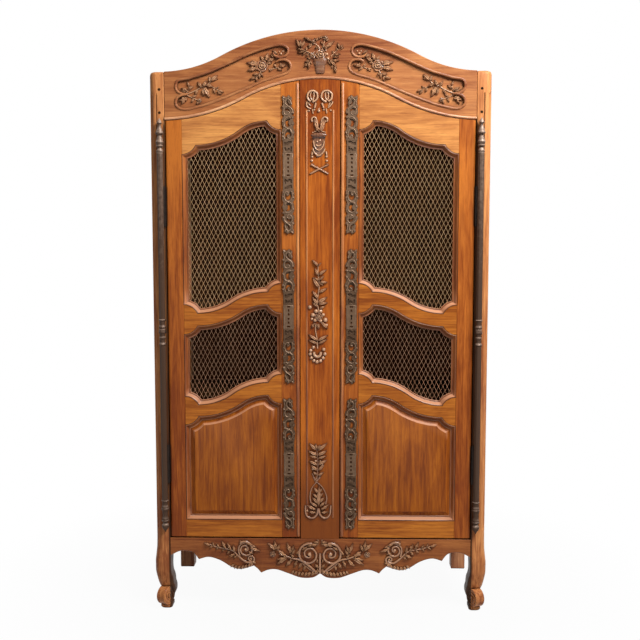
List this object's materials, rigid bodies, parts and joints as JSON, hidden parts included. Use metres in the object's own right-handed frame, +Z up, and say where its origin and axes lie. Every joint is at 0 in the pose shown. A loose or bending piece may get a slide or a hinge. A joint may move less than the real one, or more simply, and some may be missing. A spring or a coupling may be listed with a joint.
{
  "type": "bookcase cabinet",
  "caption": "Tall two-door bookcase cabinet with an arched cornice, shaped framed doors with wire grilles, full-height barrel hinges, inner shelves and scroll feet.",
  "frame": {"origin": "on the floor, under the middle of the overall box", "axes": "+X to the right seen from the front, +Y to the back, +Z up"},
  "size_m": [1.386, 0.5818, 2.377],
  "materials": {
    "walnut": "waxed, with grain and darkened carving",
    "inner_wood": "unpolished boards",
    "iron": "dark aged iron",
    "wire": "dull wire mesh"
  },
  "bodies": {
    "root": {"front_post_left": "walnut", "rear_post_left": "walnut", "front_post_right": "walnut", "rear_post_right": "walnut", "cornice_rail": "walnut", "apron_rail": "walnut", "centre_post": "walnut", "side_top_rail_left": "walnut", "side_mid_rail_left": "walnut", "side_bottom_rail_left": "walnut", "side_upper_panel_left": "walnut", "side_lower_panel_left": "walnut", "side_top_rail_right": "walnut", "side_mid_rail_right": "walnut", "side_bottom_rail_right": "walnut", "side_upper_panel_right": "walnut", "side_lower_panel_right": "walnut", "back_top_rail": "inner_wood", "back_bottom_rail": "inner_wood", "back_panel": "inner_wood", "top_boards": "inner_wood", "bottom_boards": "inner_wood", "shelf_upper": "inner_wood", "shelf_lower": "inner_wood", "shelf_cleat_left": "inner_wood", "shelf_cleat_right": "inner_wood", "hinge_upper_knuckle_left": "iron", "hinge_upper_knuckle_right": "iron", "hinge_lower_knuckle_left": "iron", "hinge_lower_knuckle_right": "iron"},
    "door_left": {"door_left_hinge_stile": "walnut", "door_left_lock_stile": "walnut", "door_left_top_rail": "walnut", "door_left_upper_mid_rail": "walnut", "door_left_lower_mid_rail": "walnut", "door_left_bottom_rail": "walnut", "door_left_panel": "walnut", "door_left_upper_grille": "wire", "door_left_lower_grille": "wire", "door_left_escutcheon_top": "iron", "door_left_escutcheon_middle": "iron", "door_left_escutcheon_bottom": "iron", "hinge_barrel_left": "iron"},
    "door_right": {"door_right_hinge_stile": "walnut", "door_right_lock_stile": "walnut", "door_right_top_rail": "walnut", "door_right_upper_mid_rail": "walnut", "door_right_lower_mid_rail": "walnut", "door_right_bottom_rail": "walnut", "door_right_panel": "walnut", "door_right_upper_grille": "wire", "door_right_lower_grille": "wire", "door_right_escutcheon_top": "iron", "door_right_escutcheon_middle": "iron", "door_right_escutcheon_bottom": "iron", "hinge_barrel_right": "iron", "lock_case": "iron"},
    "lock_bolt": {"lock_bolt": "iron"},
    "turn_button": {"turn_button": "walnut"}
  },
  "joints": [
    {"name": "left_door_swing", "type": "hinge", "parent": "root", "child": "door_left", "pos_m": [-0.643, -0.2754, 1.18], "axis": [0, 0, -1], "range_deg": [0, 170]},
    {"name": "right_door_swing", "type": "hinge", "parent": "root", "child": "door_right", "pos_m": [0.643, -0.2754, 1.18], "axis": [0, 0, 1], "range_deg": [0, 170]},
    {"name": "lock_bolt_slide", "type": "slide", "parent": "door_right", "child": "lock_bolt", "axis": [-1, 0, 0], "range_m": [0, 0.016]},
    {"name": "turn_button_pivot", "type": "hinge", "parent": "root", "child": "turn_button", "pos_m": [-0.058, -0.2271, 1.02], "axis": [0, 1, 0], "range_deg": [0, 90]}
  ]
}
